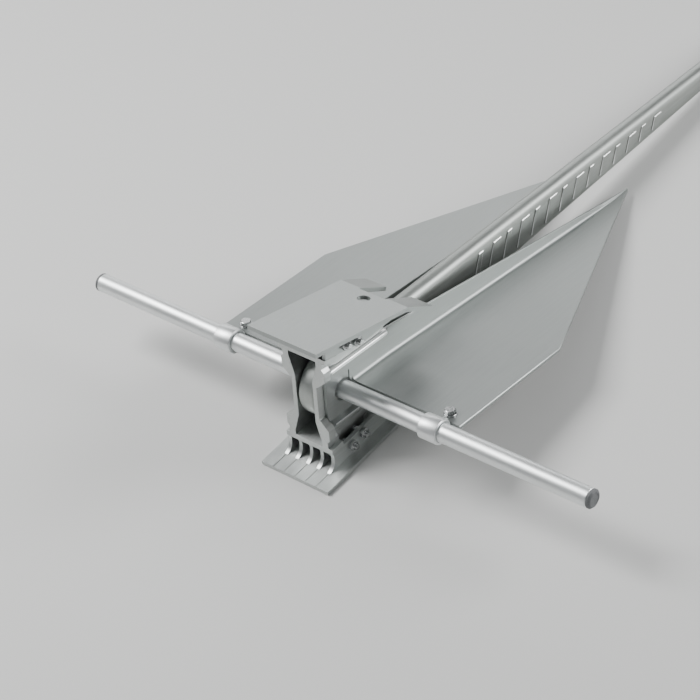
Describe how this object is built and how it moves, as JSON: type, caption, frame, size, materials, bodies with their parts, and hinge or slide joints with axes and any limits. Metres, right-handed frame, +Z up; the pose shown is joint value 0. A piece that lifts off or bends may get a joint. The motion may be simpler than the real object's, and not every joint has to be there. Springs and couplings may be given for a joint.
{
  "type": "fluke anchor",
  "caption": "Lightweight aluminium fluke anchor with pointed flukes, a palmed crown, a long stock and a swinging shank.",
  "frame": {"origin": "centre of the bounding box on the floor that the anchor lies on", "axes": "+X along the stock, +Y from the crown to the fluke tips and the shackle end, +Z up"},
  "size_m": [0.616, 0.8202, 0.1609],
  "materials": {
    "satin_aluminium": "satin anodised, fine lengthwise lines",
    "plate_aluminium": "matt anodised plate",
    "bright_aluminium": "bright machined and anodised",
    "stainless_steel": "polished stainless fasteners",
    "grey_plastic": "matt moulded"
  },
  "bodies": {
    "flukes": {"crown": "bright_aluminium", "upper_palm": "plate_aluminium", "lower_palm": "plate_aluminium", "right_fluke": "plate_aluminium", "left_fluke": "plate_aluminium", "stock_tube": "satin_aluminium", "right_stock_plug": "grey_plastic", "left_stock_plug": "grey_plastic", "right_stock_clip": "satin_aluminium", "left_stock_clip": "satin_aluminium", "right_clip_bolt": "stainless_steel", "right_clip_washer": "stainless_steel", "right_clip_nut": "stainless_steel", "left_clip_bolt": "stainless_steel", "left_clip_washer": "stainless_steel", "left_clip_nut": "stainless_steel", "upper_palm_front_bolt": "stainless_steel", "upper_palm_front_nut": "stainless_steel", "upper_palm_rear_bolt": "stainless_steel", "upper_palm_rear_nut": "stainless_steel", "lower_palm_front_bolt": "stainless_steel", "lower_palm_front_nut": "stainless_steel", "lower_palm_rear_bolt": "stainless_steel", "lower_palm_rear_nut": "stainless_steel"},
    "shank": {"shank": "satin_aluminium"}
  },
  "joints": [
    {"name": "shank_pivot", "type": "hinge", "parent": "flukes", "child": "shank", "pos_m": [0, -0.34166, 0.07222], "axis": [1, 0, 0], "range_deg": [-24.5, 17]}
  ]
}
